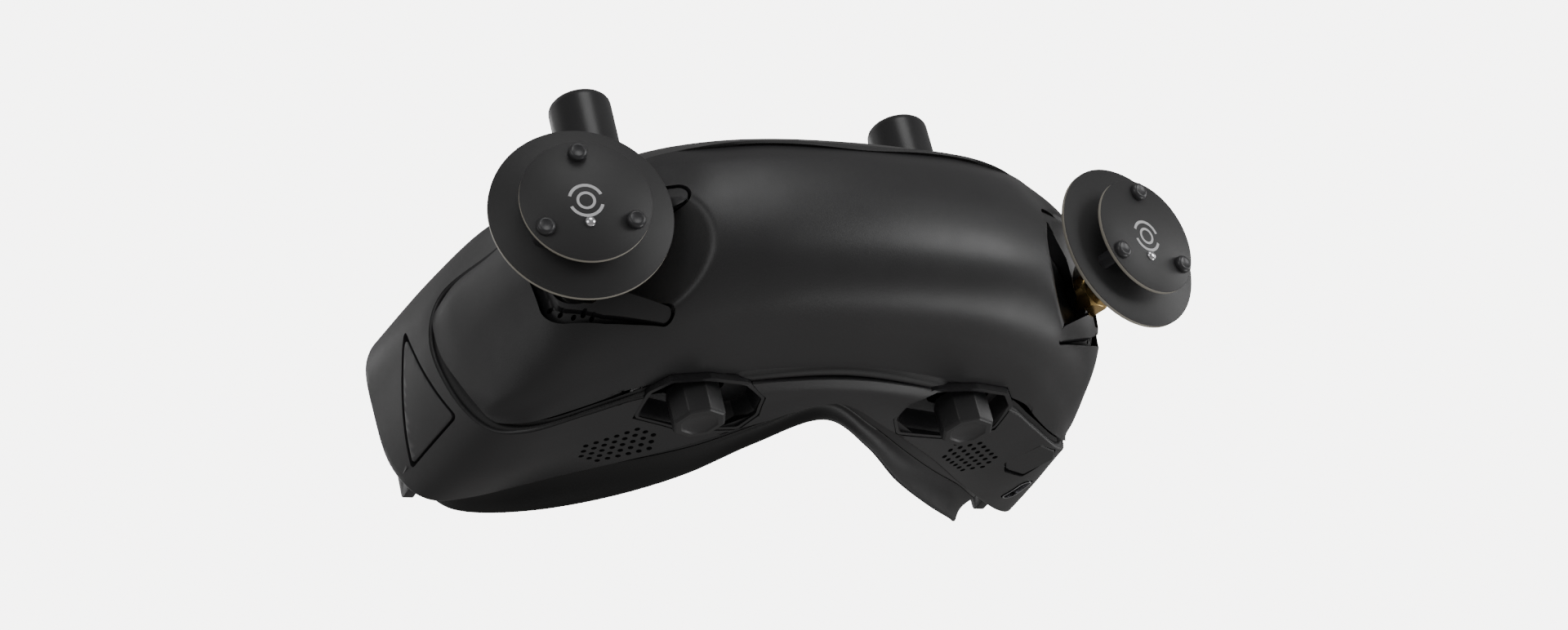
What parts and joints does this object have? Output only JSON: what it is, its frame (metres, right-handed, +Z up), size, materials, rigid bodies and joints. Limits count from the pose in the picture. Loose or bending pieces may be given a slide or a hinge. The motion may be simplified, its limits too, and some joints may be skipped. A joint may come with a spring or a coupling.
{
  "type": "fpv goggles",
  "caption": "FPV goggles: angular two-piece shell with soft face pad, sliding optics with focus knobs, and turning patch and stub antennas.",
  "frame": {"origin": "centre of the bounding box in X and Y, at the height of the focus knobs' lower ends, on which the goggles stand", "axes": "+X to the right as seen from the front, +Y from the front cover towards the wearer's face, +Z up"},
  "size_m": [0.1678, 0.1134, 0.0855],
  "materials": {
    "shell_plastic": "fine matte grain",
    "trim_black": "satin moulded",
    "inner_black": "matt moulded",
    "knob_plastic": "matt moulded, faceted",
    "gasket_rubber": "soft black",
    "face_pad_rubber": "smooth soft skin",
    "frame_plastic": "moulded",
    "barrel_plastic": "satin moulded",
    "rod_steel": "ground and plated",
    "heat_sink_metal": "anodised",
    "circuit_board": "solder mask",
    "display_glass": "polished",
    "lens_glass": "coated",
    "lead_jacket": "smooth",
    "connector_gold": "gold plated",
    "antenna_black": "matt solder mask on laminate",
    "antenna_spacer": "moulded nylon",
    "stub_plastic": "satin moulded",
    "record_red": "satin moulded"
  },
  "bodies": {
    "root": {"front_cover": "shell_plastic", "rear_housing": "shell_plastic", "seam_gasket": "gasket_rubber", "bay_insert_l": "trim_black", "bay_insert_r": "trim_black", "side_panel_l": "shell_plastic", "side_panel_r": "shell_plastic", "inner_face_panel": "inner_black", "face_frame": "trim_black", "face_pad": "face_pad_rubber", "chassis": "frame_plastic", "guide_rods": "rod_steel", "main_board": "circuit_board", "rf_board": "circuit_board", "heat_sink": "heat_sink_metal", "fan_frame": "frame_plastic", "control_boards": "circuit_board", "usb_port": "rod_steel", "card_socket": "rod_steel", "door_pin": "rod_steel", "audio_jack": "inner_black", "power_jack": "inner_black", "vent_mesh": "trim_black", "coax_leads": "lead_jacket", "board_screws": "rod_steel", "strap_anchor_l": "trim_black", "strap_anchor_r": "trim_black", "knob_tray_l": "trim_black", "knob_tray_r": "trim_black", "sma_jack_l": "connector_gold", "sma_jack_r": "connector_gold", "stub_jack_l": "connector_gold", "stub_jack_r": "connector_gold"},
    "pod_l": {"optic_pod_l": "frame_plastic", "display_l": "display_glass"},
    "eyepiece_l": {"eyepiece_l": "barrel_plastic", "eye_lens_l": "lens_glass"},
    "knob_l": {"focus_knob_l": "knob_plastic"},
    "patch_l": {"ground_disc_l": "antenna_black", "patch_disc_l": "antenna_black", "patch_rivets_l": "antenna_spacer"},
    "patch_nut_l": {"sma_nut_l": "connector_gold"},
    "stub_l": {"stub_antenna_l": "stub_plastic"},
    "pod_r": {"optic_pod_r": "frame_plastic", "display_r": "display_glass"},
    "eyepiece_r": {"eyepiece_r": "barrel_plastic", "eye_lens_r": "lens_glass"},
    "knob_r": {"focus_knob_r": "knob_plastic"},
    "patch_r": {"ground_disc_r": "antenna_black", "patch_disc_r": "antenna_black", "patch_rivets_r": "antenna_spacer"},
    "patch_nut_r": {"sma_nut_r": "connector_gold"},
    "stub_r": {"stub_antenna_r": "stub_plastic"},
    "fan": {"fan_rotor": "frame_plastic"},
    "record_key": {"record_button": "record_red"},
    "back_key": {"back_button": "trim_black"},
    "nav_ring": {"nav_gimbal": "rod_steel"},
    "nav_stick": {"nav_stem": "trim_black"},
    "nav_top": {"nav_cap": "trim_black"},
    "door": {"card_door": "shell_plastic"}
  },
  "joints": [
    {"name": "ipd_slide_l", "type": "slide", "parent": "root", "child": "pod_l", "axis": [1, 0, 0], "range_m": [-0.0037, 0.0037]},
    {"name": "focus_knob_l", "type": "hinge", "parent": "pod_l", "child": "knob_l", "pos_m": [-0.0323, -0.01415, 0.005], "axis": [0, 0, 1], "range_deg": [-45, 45]},
    {"name": "focus_slide_l", "type": "slide", "parent": "pod_l", "child": "eyepiece_l", "axis": [0, 1, 0], "range_m": [-0.003, 0.003]},
    {"name": "patch_turn_l", "type": "hinge", "parent": "root", "child": "patch_l", "pos_m": [-0.06529, -0.04416, 0.02513], "axis": [-0.228, -0.9683, -0.1019], "range_deg": [-15, 35]},
    {"name": "patch_nut_turn_l", "type": "hinge", "parent": "patch_l", "child": "patch_nut_l", "pos_m": [-0.06529, -0.04416, 0.02513], "axis": [-0.228, -0.9683, -0.1019], "continuous": true},
    {"name": "stub_turn_l", "type": "hinge", "parent": "root", "child": "stub_l", "pos_m": [-0.04, -0.00775, 0.061], "axis": [0, 0, 1], "continuous": true},
    {"name": "ipd_slide_r", "type": "slide", "parent": "root", "child": "pod_r", "axis": [1, 0, 0], "range_m": [-0.0037, 0.0037]},
    {"name": "focus_knob_r", "type": "hinge", "parent": "pod_r", "child": "knob_r", "pos_m": [0.0323, -0.01415, 0.005], "axis": [0, 0, 1], "range_deg": [-45, 45]},
    {"name": "focus_slide_r", "type": "slide", "parent": "pod_r", "child": "eyepiece_r", "axis": [0, 1, 0], "range_m": [-0.003, 0.003]},
    {"name": "patch_turn_r", "type": "hinge", "parent": "root", "child": "patch_r", "pos_m": [0.06529, -0.04416, 0.02513], "axis": [0.228, -0.9683, -0.1019], "range_deg": [-35, 15]},
    {"name": "patch_nut_turn_r", "type": "hinge", "parent": "patch_r", "child": "patch_nut_r", "pos_m": [0.06529, -0.04416, 0.02513], "axis": [0.228, -0.9683, -0.1019], "continuous": true},
    {"name": "stub_turn_r", "type": "hinge", "parent": "root", "child": "stub_r", "pos_m": [0.04, -0.00775, 0.061], "axis": [0, 0, 1], "continuous": true},
    {"name": "fan_spin", "type": "hinge", "parent": "root", "child": "fan", "pos_m": [0, -0.02215, 0.03], "axis": [0, 1, 0], "continuous": true},
    {"name": "record_press", "type": "slide", "parent": "root", "child": "record_key", "axis": [0, 0, -1], "range_m": [0, 0.0006], "stiffness_N_per_m": 800},
    {"name": "back_press", "type": "slide", "parent": "root", "child": "back_key", "axis": [0, 0, -1], "range_m": [0, 0.0006], "stiffness_N_per_m": 800},
    {"name": "nav_tilt_x", "type": "hinge", "parent": "root", "child": "nav_ring", "pos_m": [0.052, 0.00535, 0.056], "axis": [1, 0, 0], "range_deg": [-8, 8], "stiffness_Nm_per_rad": 0.02},
    {"name": "nav_tilt_y", "type": "hinge", "parent": "nav_ring", "child": "nav_stick", "pos_m": [0.052, 0.00535, 0.056], "axis": [0, 1, 0], "range_deg": [-8, 8], "stiffness_Nm_per_rad": 0.02},
    {"name": "nav_press", "type": "slide", "parent": "nav_stick", "child": "nav_top", "axis": [0, 0, -1], "range_m": [0, 0.0005], "stiffness_N_per_m": 800},
    {"name": "door_swing", "type": "hinge", "parent": "root", "child": "door", "pos_m": [0.05629, 0.0092, 0.0058], "axis": [0.9342, 0.3567, 0], "range_deg": [0, 95]}
  ],
  "couplings": [
    {"joint": "focus_knob_l", "follows": "focus_slide_l", "rad_per_m": -261.79},
    {"joint": "focus_knob_r", "follows": "focus_slide_r", "rad_per_m": 261.79}
  ]
}
